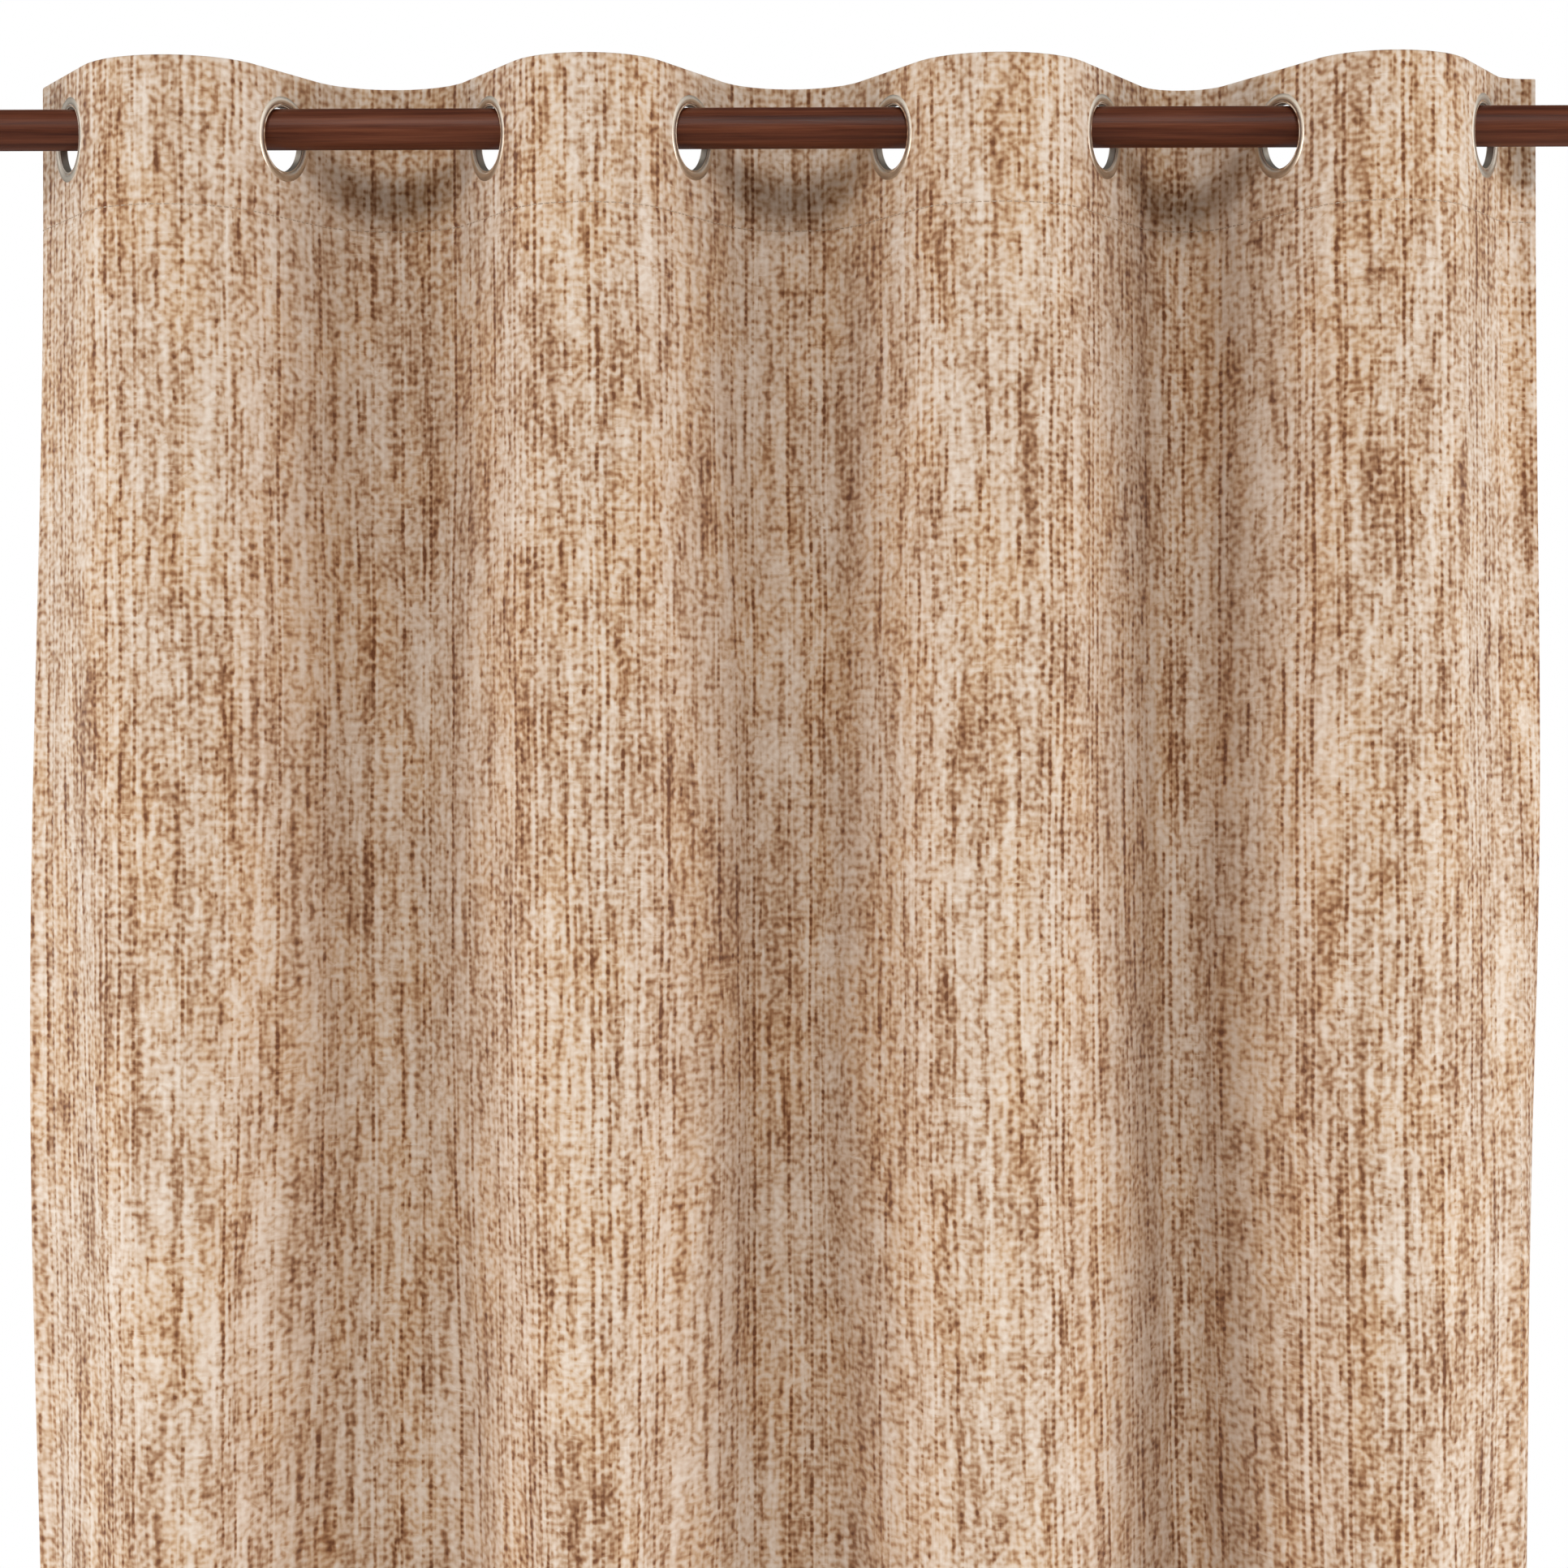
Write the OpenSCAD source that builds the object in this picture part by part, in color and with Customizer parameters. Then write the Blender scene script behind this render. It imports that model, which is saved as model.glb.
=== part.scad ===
// Eyelet curtain on a wooden wall pole: one panel threaded on its pole by eight metal eyelets.
// X runs along the pole to the right, Y points at the wall and Z is up.
// The origin is the centre of the left bracket's wall face, level with the pole's axis.

/* [Pole] */
// Diameter of the wooden pole
pole_d = 25; // [20:1:25]
// Length of the pole between its two finials
pole_len = 1200; // [1180:10:1500]
// How far the pole runs on past each bracket
overhang = 93; // [85:1:110]
// Distance from the wall to the pole's axis
projection = 110; // [100:1:140]
// Diameter of the ball on each finial
ball_d = 48; // [36:1:60]

/* [Brackets] */
// Diameter of the turned rose that lies against the wall
rose_d = 56; // [54:1:70]
// Diameter of the bracket's arm
arm_d = 20; // [18:1:24]
// Width of the cup that holds the pole
cup_w = 16; // [12:1:18]
// Thickness of the cup's wall
cup_wall = 5; // [4:0.5:6]
// Distance between the two wall screw holes
hole_spacing = 32; // [28:1:36]
// Diameter of the wall screw holes
hole_d = 5; // [4:0.5:6]

/* [Curtain] */
// Width of the panel when it lies flat
panel_w = 1400; // [1396:1:1404]
// Height of the panel from its top edge to its bottom hem
panel_h = 2500; // [1500:10:2700]
// Height of the top edge above the pole's axis
top_above = 35; // [32:1:45]
// Thickness of one layer of cloth
cloth_t = 1.1; // [0.8:0.1:1.2]
// Thickness of the stiffener inside the header
stiffener_t = 0.8; // [0.5:0.1:1]
// Height of the turned-over header
header_h = 92; // [80:1:110]
// Height of the bottom hem
hem_h = 80; // [50:5:120]
// Cloth from each outer eyelet to the panel's side edge
edge_margin = 56; // [54:1:58]
// Width of each side hem
side_hem = 28; // [22:1:28]

/* [Folds] */
// Gaps between neighbouring eyelets, from left to right, as the panel hangs
gaps = [127, 128, 121, 125, 126, 111, 121]; // [105:1:130]
// Angle between the cloth and the pole at an eyelet
lean = 62; // [61:0.5:63]
// Distance from the first eyelet to the left bracket
first_eyelet = 26; // [26:1:30]
// Radius of the curl at each side edge
edge_r = 54; // [45:1:60]
// Cloth left out on each side of a fold's crest, where two leaves hinge
crest_gap = 2; // [1.5:0.5:3]

/* [Eyelets] */
// Diameter of the hole through an eyelet
eyelet_hole_d = 39; // [39:0.5:41]
// Diameter of an eyelet's flange
eyelet_d = 54; // [50:1:56]
// How far an eyelet's centre hangs below the pole's axis
eyelet_drop = 6; // [4:0.5:6]

/* [Hidden] */
$fn = 96;

// Running gap between pieces that slide together
slip = 0.05;
eps = 0.01;

// Colours
wood_colour = [0.35, 0.19, 0.13];
cloth_colour = [0.78, 0.68, 0.58];
metal_colour = [0.72, 0.68, 0.62];
steel_colour = [0.75, 0.75, 0.77];
stiffener_colour = [0.95, 0.95, 0.92];

// Pole and finials
pole_r = pole_d / 2;
collar_r = 12.5;
collar_bead_r = 4;
collar_w = 8;
neck_r = 8;
neck_w = 5;
tip_r = 5;
tip_sink = 3;
finial_screw_r = 2.5;
finial_screw_half = 22;

// Brackets
bracket_x = [0, pole_len - 2 * overhang];
rose_t = 14;
rose_edge_r = 6;
recess_r = 24;
recess_depth = 10;
plate_r = 23;
plate_t = 2.5;
boss_r = 6;
stud_r = 3;
stud_len = 31;
stud_start = 1;
bead_r = 3;
cup_r = pole_r + cup_wall;
neck_len = 10;
tenon_r = 5;
tenon_len = 8;
arm_end = projection - cup_r - neck_len + 2;
pad_r = 4.5;
pad_t = 1.5;
lock_r = 1.75;
lock_head_r = 3.5;
lock_depth = 7;

// Cloth: the middle line of the header's layers runs through the eyelets' centres
half_t = cloth_t + stiffener_t / 2;
seam_z = top_above - header_h;
bottom_z = top_above - panel_h;
lean_rad = lean * PI / 180;
half_pitch = (panel_w - 2 * edge_margin) / len(gaps) / 2;

// Eyelets
hole_r = eyelet_hole_d / 2;
flange_r = eyelet_d / 2;
barrel_t = 1.2;
lip_r = barrel_t / 2;
front_crown = 1.7;
back_crown = 1.3;
front_inset = 0.5;
cloth_hole_r = hole_r + barrel_t + 0.3;

leaves = [for (k = [1 : len(gaps) + 1]) k];
sides = ["left", "right"];

// Each fold's half is a straight run from the eyelet and an arc that ends level with the pole.
// The cloth between two eyelets is always the same length, so a narrower gap makes a deeper fold.
function to_hundredth(x) = round(100 * x) / 100;
function crest_r(fold) = to_hundredth(
    (gaps[fold - 1] / 2 - half_pitch * cos(lean)) / (sin(lean) - lean_rad * cos(lean)));
function run_len(fold) = to_hundredth(half_pitch - crest_r(fold) * lean_rad);
function crest_half(fold) =
    [run_len(fold), crest_r(fold), lean - crest_gap / crest_r(fold) * 180 / PI];
edge_half = [edge_margin - side_hem, edge_r, side_hem / edge_r * 180 / PI];

// The two halves of leaf k: [straight run, arc radius, arc angle]
function left_half(k) = k == 1 ? edge_half : crest_half(k - 1);
function right_half(k) = k == len(leaves) ? edge_half : crest_half(k);

// The part of a half that is a single layer: it stops at a side hem and runs out past a crest
function unhemmed(half) = [half[0], half[1], half == edge_half ? 0 : half[2] + 2];

function eyelet_x(k) = k == 1 ? -first_eyelet : eyelet_x(k - 1) + gaps[k - 2];

// Odd leaves run from back to front, even leaves from front to back
function turn(k) = k % 2 == 1 ? 1 : -1;

// Sector of a ring around the origin, from angle a0 to angle a1
module ring_sector(r0, r1, a0, a1) {
    reach = 2 * r1;
    intersection() {
        difference() {
            circle(r1);
            circle(r0);
        }
        polygon([[0, 0], reach * [cos(a0), sin(a0)], reach * [cos(a1), sin(a1)]]);
    }
}

// Arc part of a half leaf: a layer from offset y0 to offset y1 beside the middle line
module half_arc(half, way, y0, y1) {
    r = half[1];
    if (half[2] > 0)
        translate([half[0], way * r])
            if (way > 0) ring_sector(r - y1, r - y0, -90, -90 + half[2]);
            else ring_sector(r + y0, r + y1, 90 - half[2], 90);
}

// Plan outline of one layer of leaf k, with the eyelet's centre at the origin
module leaf_plan(k, y0, y1, l = undef, r = undef) {
    left = is_undef(l) ? left_half(k) : l;
    right = is_undef(r) ? right_half(k) : r;
    translate([-left[0], y0]) square([left[0] + right[0], y1 - y0]);
    half_arc(right, turn(k), y0, y1);
    rotate(180) half_arc(left, turn(k), -y1, -y0);
}

// Puts a leaf's own frame where its eyelet hangs on the pole
module at_eyelet(k) {
    translate([eyelet_x(k), -projection, 0]) rotate([0, 0, -turn(k) * lean]) children();
}

// Hole for an eyelet through the header's layers
module eyelet_hole() {
    translate([0, 0, -eyelet_drop]) rotate([90, 0, 0])
        cylinder(r = cloth_hole_r, h = 20, center = true);
}

// One layer of cloth below the header, turned up along the bottom and in at the panel's sides
module leaf(k) {
    color(cloth_colour) at_eyelet(k) difference() {
        translate([0, 0, bottom_z]) linear_extrude(seam_z - bottom_z)
            leaf_plan(k, -half_t, half_t);
        translate([0, 0, bottom_z + hem_h]) linear_extrude(seam_z - bottom_z)
            leaf_plan(k, -half_t + cloth_t, half_t + 1, unhemmed(left_half(k)), unhemmed(right_half(k)));
    }
}

// Cloth turned over at the top, with a pocket between its two layers
module header(k) {
    color(cloth_colour) at_eyelet(k) difference() {
        translate([0, 0, seam_z]) linear_extrude(header_h) leaf_plan(k, -half_t, half_t);
        translate([0, 0, seam_z - 1]) linear_extrude(header_h + 1 - cloth_t)
            leaf_plan(k, -stiffener_t / 2, stiffener_t / 2);
        eyelet_hole();
    }
}

// Stiffener that fills the header's pocket
module stiffener(k) {
    color(stiffener_colour) at_eyelet(k) difference() {
        translate([0, 0, seam_z]) linear_extrude(header_h - cloth_t - slip)
            leaf_plan(k, -stiffener_t / 2 + slip, stiffener_t / 2 - slip);
        eyelet_hole();
    }
}

// Domed flange profile from radius r0 to the rim, standing on height h0
module flange_profile(r0, h0, crown) {
    half = (flange_r - r0) / 2;
    dome_r = (half * half + crown * crown) / (2 * crown);
    intersection() {
        translate([r0 + half, h0 + crown - dome_r]) circle(dome_r);
        translate([r0, h0]) square([2 * half, crown + 1]);
    }
}

// Front half of an eyelet: a domed flange on a barrel that goes through the header
module eyelet_front(k) {
    color(metal_colour) at_eyelet(k)
        translate([0, 0, -eyelet_drop]) rotate([90, 0, 0]) rotate_extrude() {
            flange_profile(hole_r + front_inset, half_t, front_crown);
            translate([hole_r, -half_t - lip_r]) square([barrel_t, 2 * half_t + lip_r + 0.1]);
            translate([hole_r + lip_r, half_t + 0.1]) circle(lip_r);
            translate([hole_r + lip_r, -half_t - lip_r]) circle(lip_r);
        }
}

// Back half of an eyelet, which snaps over the barrel
module eyelet_back(k) {
    color(metal_colour) at_eyelet(k)
        translate([0, 0, -eyelet_drop]) rotate([-90, 0, 0]) rotate_extrude()
            flange_profile(hole_r + barrel_t + slip, half_t, back_crown);
}

// Round pole with a screw hole in each end and one over each bracket's lock screw
module pole() {
    color(wood_colour) difference() {
        translate([-overhang, -projection, 0]) rotate([0, 90, 0]) cylinder(r = pole_r, h = pole_len);
        for (x = [-overhang, pole_len - overhang])
            translate([x, -projection, 0]) rotate([0, 90, 0])
                cylinder(r = finial_screw_r + slip, h = 2 * finial_screw_half + 1, center = true);
        for (x = bracket_x)
            translate([x, -projection, -pole_r - 1])
                cylinder(r = lock_r + slip, h = lock_depth + 1);
    }
}

// Turned ball finial with its base at the origin, pointing along +Z
module finial_shape() {
    ball_h = collar_w + neck_w + ball_d / 2;
    difference() {
        rotate_extrude() intersection() {
            union() {
                square([collar_r, collar_w]);
                translate([collar_r, collar_w / 2]) circle(collar_bead_r);
                square([neck_r, ball_h]);
                translate([0, ball_h]) circle(ball_d / 2);
                translate([0, ball_h + ball_d / 2 + tip_r - tip_sink]) circle(tip_r);
            }
            square([ball_d, 2 * ball_h + 2 * tip_r]);
        }
        translate([0, 0, -1]) cylinder(r = finial_screw_r + slip, h = finial_screw_half + 1.5);
    }
}

module finial_left() {
    color(wood_colour) translate([-overhang, -projection, 0]) rotate([0, -90, 0]) finial_shape();
}

module finial_right() {
    color(wood_colour) translate([pole_len - overhang, -projection, 0]) rotate([0, 90, 0])
        finial_shape();
}

// Double-ended screw that joins a finial to the pole's end at x
module finial_screw(x) {
    color(steel_colour) translate([x, -projection, 0]) rotate([0, 90, 0])
        cylinder(r = finial_screw_r, h = 2 * finial_screw_half, center = true);
}

// Turns a shape drawn along +Z so that it points from the wall into the room
module from_wall(x) {
    translate([x, 0, 0]) rotate([90, 0, 0]) children();
}

// Steel plate that is screwed to the wall, with a threaded boss for the stud
module wall_plate(x) {
    color(steel_colour) from_wall(x) difference() {
        union() {
            cylinder(r = plate_r, h = plate_t);
            cylinder(r = boss_r, h = recess_depth);
        }
        translate([0, 0, -1]) cylinder(r = stud_r + slip, h = recess_depth + 2);
        for (y = [-hole_spacing / 2, hole_spacing / 2])
            translate([0, y, -1]) cylinder(d = hole_d, h = plate_t + 2);
    }
}

// Threaded stud between the wall plate and the arm
module stud(x) {
    color(steel_colour) from_wall(x) translate([0, 0, stud_start])
        cylinder(r = stud_r, h = stud_len);
}

// Turned wooden rose and arm in one piece, hollow behind for the wall plate
module arm(x) {
    arm_r = arm_d / 2;
    color(wood_colour) from_wall(x) difference() {
        rotate_extrude() {
            square([rose_d / 2, rose_t - rose_edge_r]);
            square([rose_d / 2 - rose_edge_r, rose_t]);
            translate([rose_d / 2 - rose_edge_r, rose_t - rose_edge_r]) circle(rose_edge_r);
            square([arm_r, arm_end]);
            translate([arm_r, rose_t + bead_r]) circle(bead_r);
            translate([arm_r - 1, arm_end - 2 * bead_r]) circle(bead_r);
            square([tenon_r, arm_end + tenon_len]);
        }
        translate([0, 0, -1]) cylinder(r = recess_r, h = recess_depth + 1);
        cylinder(r = stud_r + slip, h = stud_start + stud_len + 1);
    }
}

// Wooden cup round the pole, with a socket for the arm and a pad for the lock screw
module cup(x) {
    color(wood_colour) difference() {
        union() {
            translate([x, -projection, 0]) rotate([0, 90, 0])
                cylinder(r = cup_r, h = cup_w, center = true);
            from_wall(x) translate([0, 0, arm_end])
                cylinder(r = cup_w / 2, h = projection - arm_end);
            translate([x, -projection, -cup_r - pad_t + 1]) cylinder(r = pad_r, h = cup_wall);
        }
        translate([x, -projection, 0]) rotate([0, 90, 0])
            cylinder(r = pole_r + slip, h = cup_w + 2, center = true);
        from_wall(x) translate([0, 0, arm_end - 1]) cylinder(r = tenon_r + slip, h = tenon_len + 1);
        translate([x, -projection, -cup_r - pad_t]) cylinder(r = lock_r + slip, h = cup_wall + 3);
    }
}

// Brass screw that keeps the pole from turning in the cup
module lock_screw(x) {
    head_z = -cup_r - pad_t + 1;
    color(metal_colour) translate([x, -projection, 0]) {
        translate([0, 0, head_z - eps]) cylinder(r = lock_r, h = -pole_r + lock_depth - head_z - 0.5);
        translate([0, 0, head_z]) intersection() {
            sphere(r = lock_head_r);
            translate([0, 0, -lock_head_r]) cylinder(r = lock_head_r, h = lock_head_r);
        }
    }
}

pole();
finial_left();
finial_right();
finial_screw(-overhang);  // finial_screw_left
finial_screw(pole_len - overhang);  // finial_screw_right
for (i = [0, 1]) {
    wall_plate(bracket_x[i]);
    stud(bracket_x[i]);
    arm(bracket_x[i]);
    cup(bracket_x[i]);
    lock_screw(bracket_x[i]);
}
for (k = leaves) {
    leaf(k);
    header(k);
    stiffener(k);
    eyelet_front(k);
    eyelet_back(k);
}
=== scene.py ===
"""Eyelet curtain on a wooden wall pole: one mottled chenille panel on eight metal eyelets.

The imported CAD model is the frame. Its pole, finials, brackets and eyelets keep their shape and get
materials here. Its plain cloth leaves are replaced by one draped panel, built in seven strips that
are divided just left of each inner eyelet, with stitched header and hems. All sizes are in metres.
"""
import math

import bpy
import numpy as np
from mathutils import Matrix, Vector


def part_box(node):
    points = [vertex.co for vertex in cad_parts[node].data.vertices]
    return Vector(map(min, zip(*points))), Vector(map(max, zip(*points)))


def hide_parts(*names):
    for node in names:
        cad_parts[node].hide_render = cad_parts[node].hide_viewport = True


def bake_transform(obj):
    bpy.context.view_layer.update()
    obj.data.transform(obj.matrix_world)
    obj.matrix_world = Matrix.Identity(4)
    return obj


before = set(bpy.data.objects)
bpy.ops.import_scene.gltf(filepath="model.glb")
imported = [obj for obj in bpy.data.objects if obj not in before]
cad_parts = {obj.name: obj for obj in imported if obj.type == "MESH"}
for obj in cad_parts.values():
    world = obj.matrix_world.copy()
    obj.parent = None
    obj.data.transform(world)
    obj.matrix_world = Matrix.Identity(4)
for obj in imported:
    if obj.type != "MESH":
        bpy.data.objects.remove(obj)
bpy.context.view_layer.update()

# ---------------------------------------------------------------- sizes

MM = 0.001
FOLDS = 7
LEAVES = FOLDS + 1

# The panel when it lies flat
PANEL_W = 1400 * MM
EDGE_MARGIN = 56 * MM
PITCH = (PANEL_W - 2 * EDGE_MARGIN) / FOLDS
HEADER_H = 92 * MM
BOTTOM_HEM = 80 * MM
SIDE_HEM = 28 * MM

# Offsets from the middle of the cloth towards its back
FACE = -1.5 * MM
BACK_SINGLE = -0.4 * MM
BACK_DOUBLE = 1.5 * MM

# Plan of the folds
LEAN_TOP = math.radians(62)
LEAN_LOW = math.radians(59)

HOLE_R = 21 * MM
BLOCK = 32 * MM
TINY = 1e-6


def centre(node):
    low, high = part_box(node)
    return (low + high) / 2


EYELET = [centre(f"eyelet_front_{k}") for k in range(1, LEAVES + 1)]
POLE_Y = centre("pole").y
EYELET_Z = (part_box("eyelet_front_1")[0].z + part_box("eyelet_front_1")[1].z) / 2
TOP_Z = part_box("header_1")[1].z
BOTTOM_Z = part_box("leaf_1")[0].z
DROP = TOP_Z - BOTTOM_Z
NODE_X = np.array([p.x for p in EYELET])
NODE_S = EDGE_MARGIN + PITCH * np.arange(LEAVES)


# ---------------------------------------------------------------- camera

def make_camera():
    """Level camera far enough back to flatten the folds, as a catalogue picture is taken."""
    distance = 2.26
    below_pole = 0.400
    right_of_middle = 0.0031
    data = bpy.data.cameras.new("camera")
    data.lens = 85.07
    data.sensor_width = 36
    camera = bpy.data.objects.new("camera", data)
    middle = (NODE_X[0] + NODE_X[-1]) / 2
    camera.location = (middle + right_of_middle, POLE_Y - distance, -below_pole)
    camera.rotation_euler = (math.radians(90), math.radians(0.17), 0)
    bpy.context.scene.collection.objects.link(camera)
    bpy.context.scene.camera = camera


make_camera()


# ---------------------------------------------------------------- node helpers

class Tree:
    """A material's node tree, built from short calls that return output sockets."""

    def __init__(self, name):
        self.material = bpy.data.materials.new(name)
        self.material.use_nodes = True
        self.nodes = self.material.node_tree.nodes
        self.links = self.material.node_tree.links
        self.shader = self.nodes["Principled BSDF"]

    def put(self, socket, value):
        if isinstance(value, bpy.types.NodeSocket):
            self.links.new(value, socket)
        else:
            socket.default_value = value

    def add(self, kind, inputs, **settings):
        node = self.nodes.new(kind)
        for name, value in settings.items():
            setattr(node, name, value)
        for key, value in inputs.items():
            self.put(node.inputs[key], value)
        return node

    def coordinates(self):
        return self.add("ShaderNodeTexCoord", {}).outputs["Object"]

    def uv_mm(self):
        """Coordinates across and down the flat cloth, in millimetres."""
        uv = self.add("ShaderNodeUVMap", {}, uv_map="cloth").outputs["UV"]
        return self.vector("MULTIPLY", uv, (1000, 1000, 0))

    def vector(self, operation, a, b):
        return self.add("ShaderNodeVectorMath", {0: a, 1: b}, operation=operation).outputs[0]

    def math(self, operation, a, b=0.0, c=0.0):
        return self.add("ShaderNodeMath", {0: a, 1: b, 2: c}, operation=operation).outputs[0]

    def stretch(self, vector, sizes, turn=0.0, shift=(0.0, 0.0, 0.0)):
        """Coordinates in which one unit is the given size along each axis, after a turn."""
        turned = self.add("ShaderNodeMapping", {"Vector": vector, "Rotation": (0, 0, turn)},
                          vector_type="POINT").outputs[0]
        scale = tuple(1 / size for size in sizes)
        return self.add("ShaderNodeMapping", {"Vector": turned, "Scale": scale, "Location": shift},
                        vector_type="POINT").outputs[0]

    def noise(self, vector, detail=2.0, roughness=0.5, distortion=0.0):
        return self.add("ShaderNodeTexNoise", {
            "Vector": vector, "Scale": 1.0, "Detail": detail,
            "Roughness": roughness, "Distortion": distortion}).outputs["Fac"]

    def between(self, value, low, high, to_low=0.0, to_high=1.0, smooth=True):
        return self.add("ShaderNodeMapRange", {
            "Value": value, "From Min": low, "From Max": high, "To Min": to_low, "To Max": to_high},
            interpolation_type="SMOOTHSTEP" if smooth else "LINEAR").outputs["Result"]

    def ramp(self, value, stops):
        node = self.add("ShaderNodeValToRGB", {"Fac": value})
        elements = node.color_ramp.elements
        while len(elements) < len(stops):
            elements.new(0.5)
        for element, (position, colour) in zip(elements, stops):
            element.position = position
            element.color = (*colour, 1)
        return node.outputs["Color"]

    def mix(self, fac, a, b, blend="MIX"):
        node = self.add("ShaderNodeMix", {}, data_type="RGBA", blend_type=blend)
        self.put(node.inputs["Factor"], fac)
        self.put(node.inputs[6], a)
        self.put(node.inputs[7], b)
        return node.outputs[2]

    def bump(self, height, distance, strength=1.0):
        return self.add("ShaderNodeBump", {
            "Height": height, "Distance": distance, "Strength": strength}).outputs["Normal"]

    def finish(self, **inputs):
        for name, value in inputs.items():
            self.put(self.shader.inputs[name.replace("_", " ")], value)
        return self.material


def rgba(r, g, b):
    return (r, g, b, 1.0)


# ---------------------------------------------------------------- materials

def chenille():
    """Cream boucle over a brown ground: broken upright ribs, beads of slub and worn patches."""
    t = Tree("chenille")
    uv = t.uv_mm()

    def level(value, weight):
        return t.math("MULTIPLY", t.math("SUBTRACT", value, 0.5), weight)

    # The yarns wander a little to the sides
    sway = t.noise(t.stretch(uv, (40, 140, 1), shift=(9, 4, 0)), detail=1)
    uv = t.vector("ADD", uv, t.add("ShaderNodeCombineXYZ", {"X": level(sway, 5.0)}).outputs[0])

    # Uneven column heads, so that patches end raggedly and keep upright sides
    heads = t.noise(t.stretch(uv, (4.6, 4000, 1)), detail=2, roughness=0.7)
    ragged = t.vector("ADD", uv, t.add("ShaderNodeCombineXYZ", {"Y": level(heads, 90)}).outputs[0])

    rib = t.noise(t.stretch(uv, (5.4, 160, 1)), detail=1.3, roughness=0.6)
    broken = t.noise(t.stretch(uv, (4.8, 24, 1), shift=(31, 7, 0)), detail=1, roughness=0.5)
    grain = t.noise(t.stretch(uv, (3.5, 3.7, 1), shift=(5, 11, 0)), detail=0.5, roughness=0.5)
    across = t.noise(t.stretch(uv, (42, 4.5, 1), shift=(2, 23, 0)), detail=1)
    runs = t.noise(t.stretch(uv, (4.7, 13, 1), shift=(61, 3, 0)), detail=1)
    patch = t.noise(t.stretch(ragged, (20, 75, 1), shift=(3, 17, 0)), detail=2, roughness=0.6)
    cloud = t.noise(t.stretch(uv, (110, 300, 1), shift=(13, 2, 0)), detail=2, roughness=0.5)

    # Ribs with a groove between them, each groove with its own run of dark beads
    rib_pitch = 4.7
    bead_pitch = 3.9
    place = t.add("ShaderNodeSeparateXYZ", {0: uv}).outputs
    column = t.math("DIVIDE", place["X"], rib_pitch)
    chance = t.add("ShaderNodeTexWhiteNoise", {"W": t.math("FLOOR", column)}, noise_dimensions="1D")
    own = chance.outputs["Value"]
    from_middle = t.math("ABSOLUTE", t.math("SUBTRACT", t.math("FRACT", column), 0.5))
    ridge = t.between(from_middle, 0.10, 0.42)
    groove = t.between(from_middle, 0.08, 0.28, 1.0, 0.0)
    strength = t.between(t.math("ADD", own, level(runs, 2.4)), 0.40, 0.95)
    own_start = t.math("MULTIPLY", own, 300)
    beads = t.math("SINE", t.math("MULTIPLY_ADD", place["Y"], 2 * math.pi / bead_pitch, own_start))
    beads = t.math("MULTIPLY_ADD", beads, 0.09, 0.115)
    groove = t.math("MULTIPLY", t.math("MULTIPLY", groove, strength), beads)

    pile = t.math("ADD", 0.535, level(rib, 0.84))
    pile = t.math("ADD", pile, level(broken, 0.56))
    pile = t.math("ADD", pile, level(grain, 0.84))
    pile = t.math("ADD", pile, level(across, 0.27))
    pile = t.math("ADD", pile, level(patch, 0.48))
    pile = t.math("ADD", pile, level(cloud, 0.22))
    pile = t.math("SUBTRACT", pile, groove)
    pile = t.math("ADD", pile, t.math("MULTIPLY", level(ridge, 0.17), strength))

    # Pale picks that lie across the ribs, mostly where the pile is worn
    worn = t.between(patch, 0.42, 0.6, 0.1, 1.0)
    for angle, low, weight in ((90, 0.62, 0.12), (87, 0.64, 0.10), (52, 0.64, 0.08), (-55, 0.64, 0.08)):
        lying = t.stretch(uv, (2.4, 17, 1), turn=math.radians(angle), shift=(angle, 7, 0))
        pick = t.between(t.noise(lying, detail=1), low, low + 0.12)
        pile = t.math("MULTIPLY_ADD", t.math("MULTIPLY", pick, worn), weight, pile)

    colour = t.ramp(pile, [
        (0.12, (0.160, 0.060, 0.025)),
        (0.32, (0.345, 0.180, 0.092)),
        (0.47, (0.525, 0.352, 0.226)),
        (0.61, (0.650, 0.500, 0.380)),
        (0.88, (0.770, 0.660, 0.562))])
    tint = t.noise(t.stretch(uv, (45, 130, 1), shift=(71, 5, 0)), detail=3, roughness=0.6)
    warm = t.math("MULTIPLY", t.between(tint, 0.42, 0.62), t.between(pile, 0.5, 0.75, 1.0, 0.25))
    colour = t.mix(warm, colour, rgba(1.03, 0.975, 0.88), "MULTIPLY")
    return t.finish(
        Base_Color=colour,
        Roughness=0.9,
        Sheen_Weight=0.15,
        Sheen_Roughness=0.5,
        Specular_IOR_Level=0.2,
        Normal=t.bump(pile, 0.0010, 0.6))


def thread_material():
    """Twisted sewing thread in the colour of the pile."""
    t = Tree("sewing_thread")
    ply = t.noise(t.stretch(t.coordinates(), (0.0008, 0.0008, 0.0008)), detail=1)
    colour = t.ramp(ply, [(0.3, (0.36, 0.25, 0.17)), (0.7, (0.60, 0.47, 0.35))])
    return t.finish(Base_Color=colour, Roughness=0.6, Normal=t.bump(ply, 0.0001, 0.5))


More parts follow.
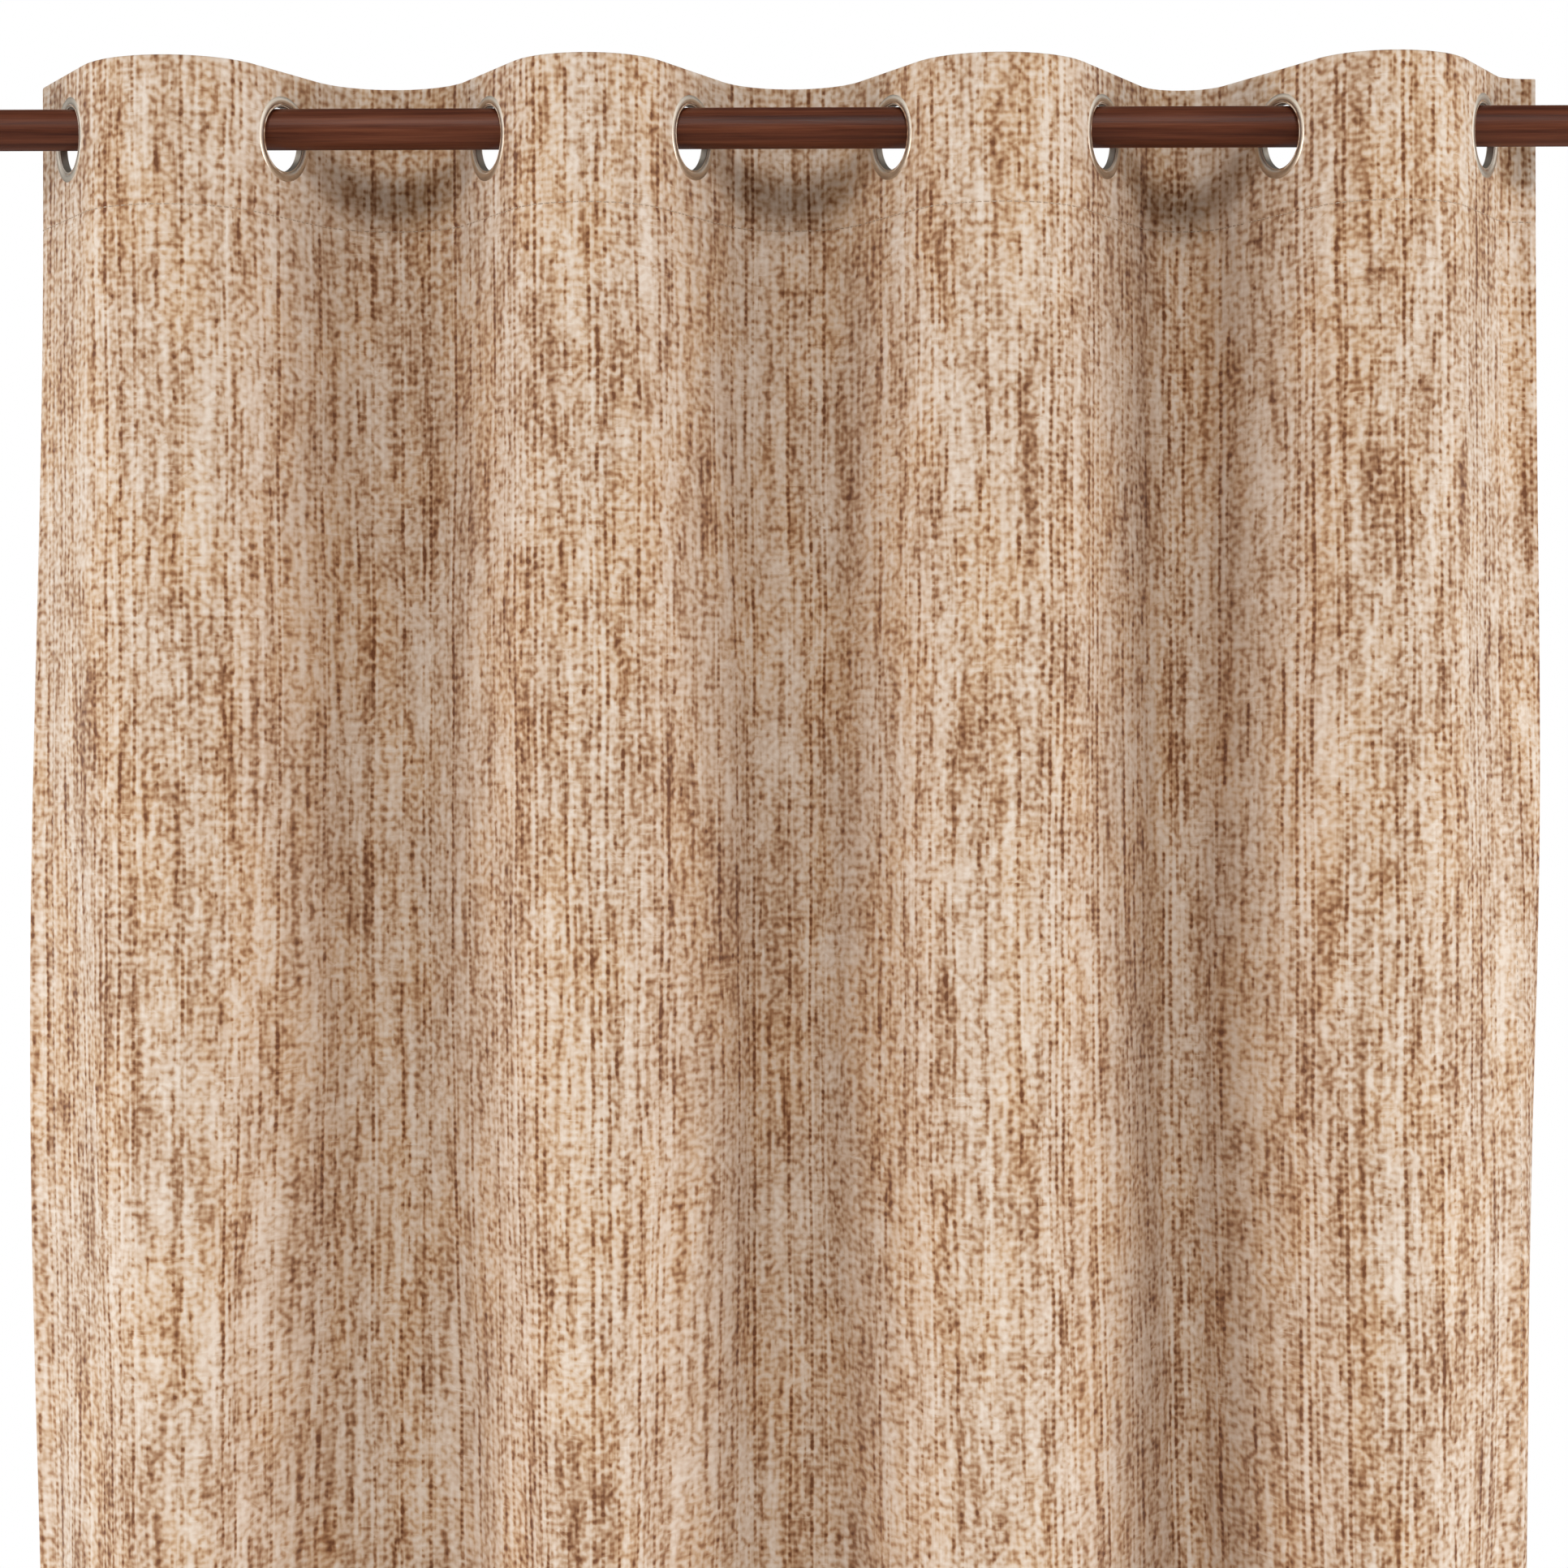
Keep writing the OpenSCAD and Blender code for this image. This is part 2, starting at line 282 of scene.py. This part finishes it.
def stained_wood():
    """Mahogany-stained softwood under satin varnish, with the grain along the pole."""
    t = Tree("stained_wood")
    at = t.coordinates()
    warp = t.noise(t.stretch(at, (0.25, 0.03, 0.03)), detail=2)
    warped = t.vector("ADD", at, t.add("ShaderNodeCombineXYZ", {
        "Y": t.math("MULTIPLY", warp, 0.006), "Z": t.math("MULTIPLY", warp, 0.004)}).outputs[0])
    streak = t.noise(t.stretch(warped, (0.22, 0.0045, 0.0045)), detail=3, roughness=0.55)
    pore = t.noise(t.stretch(at, (0.030, 0.0007, 0.0007)), detail=2, roughness=0.6)
    grain = t.math("ADD", t.math("MULTIPLY", streak, 0.75), t.math("MULTIPLY", pore, 0.25))
    colour = t.ramp(grain, [
        (0.34, (0.045, 0.009, 0.003)),
        (0.46, (0.085, 0.020, 0.007)),
        (0.56, (0.125, 0.033, 0.013)),
        (0.68, (0.165, 0.050, 0.022))])
    rough = t.between(pore, 0.3, 0.7, 0.40, 0.52, smooth=False)
    return t.finish(
        Base_Color=colour,
        Roughness=rough,
        Specular_IOR_Level=0.22,
        Normal=t.bump(pore, 0.0003, 0.35))


def metal(name, light, dark, roughness, fleck):
    """Plated metal: a fine brushed variation in tone and roughness."""
    t = Tree(name)
    at = t.coordinates()
    brushed = t.noise(t.stretch(at, (fleck, fleck, fleck)), detail=3, roughness=0.6)
    worn = t.noise(t.stretch(at, (0.012, 0.012, 0.012)), detail=2)
    colour = t.mix(t.between(worn, 0.35, 0.65), rgba(*dark), rgba(*light))
    return t.finish(
        Base_Color=colour,
        Metallic=1.0,
        Roughness=t.between(brushed, 0.3, 0.7, roughness - 0.06, roughness + 0.06, smooth=False),
        Normal=t.bump(brushed, 0.0001, 0.25))


def buckram():
    """Stiff open-weave tape."""
    t = Tree("buckram")
    uv = t.coordinates()
    warp = t.noise(t.stretch(uv, (0.0006, 0.0006, 0.02)), detail=1)
    weft = t.noise(t.stretch(uv, (0.02, 0.02, 0.0006)), detail=1)
    weave = t.math("ADD", warp, weft)
    colour = t.ramp(weave, [(0.4, (0.62, 0.60, 0.55)), (0.6, (0.86, 0.85, 0.80))])
    return t.finish(Base_Color=colour, Roughness=0.9, Normal=t.bump(weave, 0.0002, 0.5))


def studio_floor_material():
    t = Tree("studio_floor")
    tone = t.noise(t.stretch(t.coordinates(), (0.6, 0.6, 0.6)), detail=2)
    colour = t.ramp(tone, [(0.3, (0.76, 0.75, 0.73)), (0.7, (0.80, 0.79, 0.77))])
    return t.finish(Base_Color=colour, Roughness=0.85)


CHENILLE = chenille()
THREAD = thread_material()
WOOD = stained_wood()
NICKEL = metal("satin_nickel", (0.74, 0.665, 0.565), (0.66, 0.58, 0.475), 0.36, 0.0006)
ZINC = metal("zinc_steel", (0.70, 0.71, 0.73), (0.55, 0.56, 0.58), 0.36, 0.0008)
BRASS = metal("brass", (0.80, 0.60, 0.28), (0.62, 0.44, 0.18), 0.30, 0.0006)
BUCKRAM = buckram()


def dress_frame():
    """Gives every CAD node that stays in view its material."""
    finishes = [
        (("pole", "finial_left", "finial_right", "arm_", "cup_"), WOOD),
        (("eyelet_",), NICKEL),
        (("lock_screw_",), BRASS),
        (("finial_screw_", "wall_plate_", "stud_"), ZINC),
        (("stiffener_",), BUCKRAM),
        (("leaf_", "header_"), CHENILLE),
    ]
    for name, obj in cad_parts.items():
        material = next(m for prefixes, m in finishes if name.startswith(prefixes))
        obj.data.materials.clear()
        obj.data.materials.append(material)


dress_frame()


# ---------------------------------------------------------------- drape

class Drape:
    """The hanging panel's middle surface, as positions over (s, drop).

    s runs along the flat cloth from its left edge and drop runs down from its top edge. The plan
    of the folds follows the CAD leaves at the header. Lower down the folds grow rounder and wander.
    """

    def __init__(self):
        self.s = np.linspace(0, PANEL_W, 2801)
        self.drop = np.linspace(0, DROP, 251)
        rng = np.random.default_rng(7)
        self.waves = [
            (rng.uniform(0.09, 0.22), rng.uniform(0.5, 1.3), rng.uniform(0, 2 * math.pi), way)
            for way in (1, -1, 1, -1, 1, -1)]
        self.node_waves = rng.uniform(0, 2 * math.pi, (LEAVES, 2))
        self._integrate()

    def ease(self, drop, start, length):
        t = np.clip((drop - start) / length, 0, 1)
        return t * t * (3 - 2 * t)

    def node_positions(self, drop):
        """Where the lines below the eyelets run: straight from the pole, then wandering a little."""
        free = self.ease(drop, 0.10, 0.9)[:, None]
        turns = 2 * math.pi * drop[:, None]
        x = 0.005 * np.sin(turns / 1.7 + self.node_waves[:, 0])
        y = 0.004 * np.sin(turns / 1.3 + self.node_waves[:, 1])
        return NODE_X + free * x, POLE_Y + free * y

    def _integrate(self):
        drop = self.drop
        lean = LEAN_TOP + (LEAN_LOW - LEAN_TOP) * self.ease(drop, HEADER_H, 0.7)
        node_x, node_y = self.node_positions(drop)
        heading = np.zeros((len(drop), len(self.s)))
        for fold in range(FOLDS):
            inside = (self.s >= NODE_S[fold]) & (self.s <= NODE_S[fold + 1])
            t = 2 * (self.s[inside] - NODE_S[fold]) / PITCH - 1
            gap = (node_x[:, fold + 1] - node_x[:, fold]) / PITCH
            reach = (gap - np.cos(lean)) / (np.sin(lean) / lean - np.cos(lean))
            way = 1 if fold % 2 == 0 else -1
            heading[:, inside] = way * lean[:, None] * np.clip(t[None, :] / reach[:, None], -1, 1)
        self._side_edges(heading, lean)

        step = self.s[1] - self.s[0]

        def run(values):
            mid = (values[:, 1:] + values[:, :-1]) / 2 * step
            return np.concatenate([np.zeros((len(drop), 1)), np.cumsum(mid, axis=1)], axis=1)

        self.heading = heading
        self.x = self._pin(run(np.cos(heading)), node_x)
        self.y = self._pin(run(np.sin(heading)), node_y)
        width = self.x[0] - self.x[0, 0]
        self.weave = width + 0.3 * (self.s - width)

    def _side_edges(self, heading, lean):
        """The margins beyond the outer eyelets: both curl, and lower down the right hem turns back."""
        low = self.ease(self.drop, 0.06, 0.5)[:, None]
        left = self.s < NODE_S[0]
        away = self.ease(NODE_S[0] - self.s[left], SIDE_HEM, SIDE_HEM)
        heading[:, left] = -lean[:, None] + math.radians(26) * low * away
        right = self.s > NODE_S[-1]
        beyond = self.s[right] - NODE_S[-1]
        at_top = lean[:, None] - math.radians(56) * self.ease(beyond, 22 * MM, 26 * MM)
        turned = math.radians(-30) * self.ease(beyond, 0, 22 * MM)
        turned = turned + math.radians(52) * self.ease(beyond, 26 * MM, 22 * MM)
        at_foot = lean[:, None] + turned
        heading[:, right] = at_top + (at_foot - at_top) * self.ease(self.drop, 0.1, 0.8)[:, None]

    def _pin(self, run, nodes):
        """Shifts each row so that it passes through its nodes."""
        columns = np.searchsorted(self.s, NODE_S - 1e-9)
        error = nodes - run[:, columns]
        shift = np.array([np.interp(self.s, NODE_S, row) for row in error])
        return run + shift

    def across(self, s):
        """Place of the weave's pattern across the panel: its ribs lie wider on the folds' flanks."""
        return np.interp(s, self.s, self.weave)

    def ripple(self, s, drop):
        """Soft secondary folds that grow below the stiffened header."""
        grow = self.ease(drop, HEADER_H, 0.8)
        total = 0
        for across, down, phase, way in self.waves:
            total = total + np.sin(2 * math.pi * (s / across + way * drop / down) + phase)
        return 0.0007 * grow * total

    def at(self, s, z, offset):
        """Positions at s and height z, offset towards the cloth's back."""
        s, z = np.broadcast_arrays(np.asarray(s, float), np.asarray(z, float))
        drop = TOP_Z - z
        i = np.clip(s / PANEL_W * (len(self.s) - 1), 0, len(self.s) - 1.001)
        j = np.clip(drop / DROP * (len(self.drop) - 1), 0, len(self.drop) - 1.001)
        i0, j0 = i.astype(int), j.astype(int)
        fi, fj = i - i0, j - j0

        def look(table):
            upper = table[j0, i0] * (1 - fi) + table[j0, i0 + 1] * fi
            lower = table[j0 + 1, i0] * (1 - fi) + table[j0 + 1, i0 + 1] * fi
            return upper * (1 - fj) + lower * fj

        heading = look(self.heading)
        back = offset - self.ripple(s, drop)
        x = look(self.x) - np.sin(heading) * back
        y = look(self.y) + np.cos(heading) * back
        return np.stack([x, y, z], axis=-1)


DRAPE = Drape()


# ---------------------------------------------------------------- cloth strips

def spaced(start, end, step):
    count = max(1, round(abs(end - start) / step))
    return list(np.linspace(start, end, count + 1))


def joined(*runs):
    """Runs of numbers, end to start, without the doubled points."""
    result = list(runs[0])
    for run in runs[1:]:
        result.extend(run[1:])
    return result


BLOCK_STEPS = 16
SEAM_Z = TOP_Z - HEADER_H
STITCH_IN = 3 * MM
HEM_Z = BOTTOM_Z + BOTTOM_HEM


def row_heights():
    """Heights of the grid's rows, finer at the header, its seam and the hem."""
    block_top = EYELET_Z + BLOCK
    block_bottom = EYELET_Z - BLOCK
    edge = 1.5 * MM
    return joined(
        spaced(TOP_Z - edge, block_top, 3 * MM),
        spaced(block_top, block_bottom, 2 * BLOCK / BLOCK_STEPS),
        spaced(block_bottom, SEAM_Z + 6 * MM, 3 * MM),
        spaced(SEAM_Z + 6 * MM, SEAM_Z, 1 * MM),
        [SEAM_Z, SEAM_Z - 0.8 * MM, SEAM_Z - 6 * MM],
        spaced(SEAM_Z - 6 * MM, HEM_Z + 6 * MM, 11 * MM),
        [HEM_Z + 6 * MM, HEM_Z + 0.8 * MM],
        [HEM_Z + 0.8 * MM, *spaced(HEM_Z, HEM_Z - 6 * MM, 1 * MM)],
        spaced(HEM_Z - 6 * MM, BOTTOM_Z + edge, 10 * MM))


ROWS = np.array(row_heights())


def strip_edges():
    """Where the panel is divided: its two sides, and a line just left of each inner eyelet."""
    inner = [NODE_S[k] - BLOCK for k in range(1, FOLDS)]
    return [0.0, *inner, PANEL_W]


EDGES = strip_edges()


def columns(strip):
    """Places of a strip's columns along the cloth, and the middles of its eyelets' blocks."""
    start, end = EDGES[strip], EDGES[strip + 1]
    blocks = [s for s in NODE_S if start - TINY < s - BLOCK and s + BLOCK < end + TINY]
    marks = [start]
    for s in blocks:
        marks += [s - BLOCK, s + BLOCK]
    marks.append(end)
    runs = [spaced(a, b, 2 * BLOCK / BLOCK_STEPS) for a, b in zip(marks, marks[1:]) if b - a > TINY]
    return np.array(joined(*runs)), blocks


def back_offset(s, z):
    """How far the back of the cloth is from its middle: turned-over cloth is a layer thicker."""
    double = (z >= SEAM_Z - TINY) | (z <= HEM_Z + TINY)
    double = double | (s <= SIDE_HEM) | (s >= PANEL_W - SIDE_HEM)
    return np.where(double, BACK_DOUBLE, BACK_SINGLE)


def tuck(s, z):
    """Depth of the furrow that the stitching pulls into the face."""
    depth = 0.6 * MM
    width = 2.2 * MM
    header = np.exp(-((z - SEAM_Z - STITCH_IN) / width) ** 2)
    hem = np.exp(-((z - HEM_Z + STITCH_IN) / width) ** 2)
    left = np.exp(-((s - SIDE_HEM + STITCH_IN) / width) ** 2)
    right = np.exp(-((s - PANEL_W + SIDE_HEM - STITCH_IN) / width) ** 2)
    return depth * np.maximum(np.maximum(header, hem), np.maximum(left, right))


class Sheet:
    """Collects vertices, faces and pattern coordinates for one closed strip of cloth."""

    def __init__(self):
        self.points = []
        self.pattern = []
        self.caps = []
        self.faces = []
        self.count = 0

    def add(self, s, z, offset, z_out=0.0):
        """Adds an array of vertices and returns their numbers in the same shape."""
        s, z, offset = np.broadcast_arrays(
            np.asarray(s, float), np.asarray(z, float), np.asarray(offset, float))
        place = DRAPE.at(s, z, offset)
        place[..., 2] += z_out
        numbers = self.count + np.arange(s.size).reshape(s.shape)
        self.points.append(place.reshape(-1, 3))
        self.pattern.append(np.stack([DRAPE.across(s.ravel()), (TOP_Z - z).ravel()], axis=1))
        self.count += s.size
        return numbers

    def quads(self, grid, keep=None, flip=False):
        """Faces between neighbouring rows and columns of a grid of vertex numbers."""
        a, b = grid[:-1, :-1], grid[:-1, 1:]
        c, d = grid[1:, 1:], grid[1:, :-1]
        faces = np.stack([a, d, c, b] if not flip else [a, b, c, d], axis=-1)
        faces = faces.reshape(-1, 4) if keep is None else faces[keep]
        self.faces.append(faces)

    def build(self, name):
        faces = np.concatenate(self.faces).tolist() + self.caps
        mesh = bpy.data.meshes.new(name)
        mesh.from_pydata(np.concatenate(self.points).tolist(), [], faces)
        pattern = np.concatenate(self.pattern)
        layer = mesh.uv_layers.new(name="cloth")
        corners = np.empty(len(mesh.loops), dtype=np.int32)
        mesh.loops.foreach_get("vertex_index", corners)
        layer.data.foreach_set("uv", pattern[corners].astype(np.float32).ravel())
        mesh.materials.append(CHENILLE)
        mesh.shade_smooth()
        mesh.set_sharp_from_angle(angle=math.radians(50))
        obj = bpy.data.objects.new(name, mesh)
        bpy.context.scene.collection.objects.link(obj)
        return obj


def block_mask(s_columns, blocks):
    """True for grid cells outside the blocks round the eyelets, as rows by columns."""
    mid_s = (s_columns[:-1] + s_columns[1:]) / 2
    mid_z = (ROWS[:-1] + ROWS[1:]) / 2
    keep = np.ones((len(mid_z), len(mid_s)), bool)
    for s in blocks:
        inside = (np.abs(mid_z - EYELET_Z) < BLOCK)[:, None] & (np.abs(mid_s - s) < BLOCK)[None, :]
        keep &= ~inside
    return keep


def square_ring(s_columns, s):
    """Grid indices round the block at s, in order, starting at its top left corner."""

    def near(values, target):
        return int(np.argmin(np.abs(values - target)))

    left, right = near(s_columns, s - BLOCK), near(s_columns, s + BLOCK)
    top, bottom = near(ROWS, EYELET_Z + BLOCK), near(ROWS, EYELET_Z - BLOCK)
    ring = [(top, c) for c in range(left, right)]
    ring += [(r, right) for r in range(top, bottom)]
    ring += [(bottom, c) for c in range(right, left, -1)]
    ring += [(r, left) for r in range(bottom, top, -1)]
    return ring


def eyelet_rings(sheet, grid, s_columns, s, offset_at, flip):
    """Fills a block with rings that run from its square outline in to the eyelet's hole."""
    ring = square_ring(s_columns, s)
    outer = np.array([grid[r, c] for r, c in ring])
    ring_s = np.array([s_columns[c] for _, c in ring]) - s
    ring_z = np.array([ROWS[r] for r, _ in ring]) - EYELET_Z
    radius = np.hypot(ring_s, ring_z)
    circle_s = ring_s / radius * HOLE_R
    circle_z = ring_z / radius * HOLE_R
    loops = [outer]
    for share in (0.35, 0.7, 1.0):
        at_s = s + ring_s + (circle_s - ring_s) * share
        at_z = EYELET_Z + ring_z + (circle_z - ring_z) * share
        loops.append(sheet.add(at_s, at_z, offset_at(at_s, at_z)))
    rings = np.array(loops)
    rings = np.concatenate([rings, rings[:, :1]], axis=1)
    sheet.quads(rings, flip=flip)
    return rings[-1]


def cloth_strip(strip):
    """One strip of the panel as a closed thin solid, with its eyelet holes."""
    s_columns, blocks = columns(strip)
    sheet = Sheet()
    s_grid, z_grid = np.meshgrid(s_columns, ROWS)
    is_left, is_right = strip == 0, strip == FOLDS - 1

    def thin(s):
        """Share of the full thickness: the panel's side edges are rounded off."""
        share = np.ones_like(s)
        if is_left:
            share = np.where(s < 0.1 * MM, 0.4, share)
        if is_right:
            share = np.where(s > PANEL_W - 0.1 * MM, 0.4, share)
        return share

    def face_at(s, z):
        return (FACE + tuck(s, z)) * thin(s)

    def back_at(s, z):
        return back_offset(s, z) * thin(s)

    front = sheet.add(s_grid, z_grid, face_at(s_grid, z_grid))
    back = sheet.add(s_grid, z_grid, back_at(s_grid, z_grid))
    keep = block_mask(s_columns, blocks)
    sheet.quads(front, keep=keep)
    sheet.quads(back, keep=keep, flip=True)
    for s in blocks:
        hole_front = eyelet_rings(sheet, front, s_columns, s, face_at, flip=False)
        hole_back = eyelet_rings(sheet, back, s_columns, s, back_at, flip=True)
        sheet.quads(np.array([hole_front, hole_back]))

    # Rounded folds along the top and bottom, from front to back
    folds = []
    for row, way in ((0, 1), (-1, -1)):
        loops = [front[row]]
        for turn in (-45, 0, 45):
            angle = math.radians(turn)
            offset = BACK_DOUBLE * math.sin(angle) * thin(s_columns)
            out = way * BACK_DOUBLE * math.cos(angle)
            loops.append(sheet.add(s_columns, ROWS[row], offset, out))
        loops.append(back[row])
        fold = np.array(loops)
        sheet.quads(fold, flip=way > 0)
        folds.append(fold)

    # Side walls, which also close the ends of the two folds
    for column, flip in ((0, True), (-1, False)):
        wall = np.stack([front[:, column], back[:, column]], axis=1)
        sheet.quads(wall, flip=flip)
        for fold, upper in zip(folds, (True, False)):
            a, b, c, d, e = (int(number) for number in fold[:, column])
            for face in ([a, b, d, e], [b, c, d]):
                sheet.caps.append(face if flip != upper else face[::-1])
    return sheet


def hang(obj):
    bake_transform(obj)


# ---------------------------------------------------------------- stitching

STITCH_LEN = 3.2 * MM
STITCH_GAP = 1.3 * MM
THREAD_R = 0.35 * MM


def stitch(points, faces, start, end, out):
    """A short thread that dips into the cloth at both ends."""
    sides, rings = 5, 5
    along = (end - start) / np.linalg.norm(end - start)
    side = np.cross(along, out)
    base = len(points)
    for ring in range(rings):
        t = ring / (rings - 1)
        lift = math.sin(math.pi * t) * 0.9 - 0.35
        middle = start + (end - start) * t + out * THREAD_R * lift
        for k in range(sides):
            a = 2 * math.pi * k / sides
            points.append(middle + THREAD_R * (math.cos(a) * side + math.sin(a) * out))
    for ring in range(rings - 1):
        for k in range(sides):
            a, b = base + ring * sides + k, base + ring * sides + (k + 1) % sides
            faces.append((a, b, b + sides, a + sides))
    faces.append(tuple(base + k for k in reversed(range(sides))))
    faces.append(tuple(base + (rings - 1) * sides + k for k in range(sides)))


def stitch_line(points, faces, path, face_side):
    """Stitches along a path of (s, z) pairs on the face or the back of the cloth."""
    for (s0, z0), (s1, z1) in path:
        ends = []
        for s, z in ((s0, z0), (s1, z1)):
            offset = FACE + tuck(s, z) if face_side else BACK_DOUBLE
            ends.append(DRAPE.at(s, z, offset))
        mid_s, mid_z = (s0 + s1) / 2, (z0 + z1) / 2
        out = DRAPE.at(mid_s, mid_z, -1 * MM) - DRAPE.at(mid_s, mid_z, 1 * MM)
        out = out / np.linalg.norm(out) * (1 if face_side else -1)
        stitch(points, faces, ends[0], ends[1], out)


def dashes(start, end):
    pace = STITCH_LEN + STITCH_GAP
    count = int((end - start) / pace)
    return [(start + i * pace, start + i * pace + STITCH_LEN) for i in range(count)]


def strip_stitches(strip):
    points, faces = [], []
    start, end = EDGES[strip], EDGES[strip + 1]
    if strip == 0:
        start += 1 * MM
    for height in (SEAM_Z + STITCH_IN, HEM_Z - STITCH_IN):
        for face_side in (True, False):
            path = [((a, height), (b, height)) for a, b in dashes(start, end)]
            stitch_line(points, faces, path, face_side)
    for side, s in ((0, SIDE_HEM - STITCH_IN), (FOLDS - 1, PANEL_W - SIDE_HEM + STITCH_IN)):
        if strip == side:
            for face_side in (True, False):
                path = [((s, a), (s, b)) for a, b in dashes(HEM_Z, SEAM_Z)]
                stitch_line(points, faces, path, face_side)
    mesh = bpy.data.meshes.new(f"stitching_{strip + 1}")
    mesh.from_pydata([tuple(p) for p in points], [], faces)
    mesh.materials.append(THREAD)
    mesh.shade_smooth()
    obj = bpy.data.objects.new(mesh.name, mesh)
    bpy.context.scene.collection.objects.link(obj)
    return obj


def hang_panel():
    for strip in range(FOLDS):
        cloth = cloth_strip(strip).build(f"panel_{strip + 1}")
        hang(cloth)
        stitching = strip_stitches(strip)
        hang(stitching)
        numbers = [strip + 1] if strip < FOLDS - 1 else [strip + 1, strip + 2]
        replaced = [f"{part}_{k}" for k in numbers for part in ("leaf", "header", "stiffener")]
        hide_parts(*replaced)


hang_panel()


# ---------------------------------------------------------------- studio

def make_floor():
    drop_to_floor = 0.015
    half = 6.0
    z = BOTTOM_Z - drop_to_floor
    mesh = bpy.data.meshes.new("studio_floor")
    corners = [(-half, -half, z), (half, -half, z), (half, half, z), (-half, half, z)]
    mesh.from_pydata(corners, [], [(0, 1, 2, 3)])
    mesh.materials.append(studio_floor_material())
    floor = bpy.data.objects.new("studio_floor", mesh)
    bpy.context.scene.collection.objects.link(floor)


def area_light(name, place, target, width, height, power):
    data = bpy.data.lights.new(name, "AREA")
    data.shape = "RECTANGLE"
    data.size = width
    data.size_y = height
    data.energy = power
    light = bpy.data.objects.new(name, data)
    light.location = place
    direction = target - light.location
    light.rotation_euler = direction.to_track_quat("-Z", "Y").to_euler()
    bpy.context.scene.collection.objects.link(light)


FILL_FRONT = 0.24
FILL_SIDE = 1.45
FILL_BELOW = 0.50
FILL_BEHIND = 0.45


def studio_world():
    """White backdrop, and a soft fill that is brightest at the room's sides."""
    world = bpy.data.worlds.new("studio")
    world.use_nodes = True
    nodes, links = world.node_tree.nodes, world.node_tree.links
    seen = nodes["Background"]
    seen.inputs["Color"].default_value = rgba(1, 1, 1)
    seen.inputs["Strength"].default_value = 1.0
    direction = nodes.new("ShaderNodeTexCoord")
    parts = nodes.new("ShaderNodeSeparateXYZ")
    links.new(direction.outputs["Generated"], parts.inputs[0])

    def between(value, low, high, to_low, to_high):
        node = nodes.new("ShaderNodeMapRange")
        node.interpolation_type = "SMOOTHSTEP"
        limits = {"From Min": low, "From Max": high, "To Min": to_low, "To Max": to_high}
        for name, number in limits.items():
            node.inputs[name].default_value = number
        links.new(value, node.inputs["Value"])
        return node.outputs["Result"]

    def combine(operation, a, b):
        node = nodes.new("ShaderNodeMath")
        node.operation = operation
        links.new(a, node.inputs[0])
        if b is not None:
            links.new(b, node.inputs[1])
        return node.outputs[0]

    aside = combine("ABSOLUTE", parts.outputs["X"], None)
    aside = between(aside, 0.45, 0.95, FILL_FRONT, FILL_SIDE)
    height = between(parts.outputs["Z"], -0.6, 0.3, FILL_BELOW, 1.0)
    behind = between(parts.outputs["Y"], -0.1, 0.6, 1.0, FILL_BEHIND)
    shade = combine("MULTIPLY", height, behind)
    fill = nodes.new("ShaderNodeBackground")
    fill.inputs["Color"].default_value = rgba(1, 1, 1)
    links.new(combine("MULTIPLY", aside, shade), fill.inputs["Strength"])
    rays = nodes.new("ShaderNodeLightPath")
    mix = nodes.new("ShaderNodeMixShader")
    links.new(rays.outputs["Is Camera Ray"], mix.inputs[0])
    links.new(fill.outputs[0], mix.inputs[1])
    links.new(seen.outputs[0], mix.inputs[2])
    links.new(mix.outputs[0], nodes["World Output"].inputs["Surface"])
    bpy.context.scene.world = world
    bpy.context.scene.view_settings.view_transform = "Standard"


def make_light():
    """A tall soft box low on each side, and a wide distant light high in front."""
    sun_height = math.radians(32)
    middle = Vector(((NODE_X[0] + NODE_X[-1]) / 2, POLE_Y, -1.1))
    for name, side in (("softbox_left", -1), ("softbox_right", 1)):
        place = middle + Vector((side * 2.9, -1.4, 0.0))
        area_light(name, place, middle, 1.6, 2.4, 34)
    data = bpy.data.lights.new("front_light", "SUN")
    data.energy = 1.25
    data.angle = math.radians(16)
    light = bpy.data.objects.new("front_light", data)
    light.rotation_euler = (math.radians(90) - sun_height, 0, 0)
    bpy.context.scene.collection.objects.link(light)


make_floor()
studio_world()
make_light()
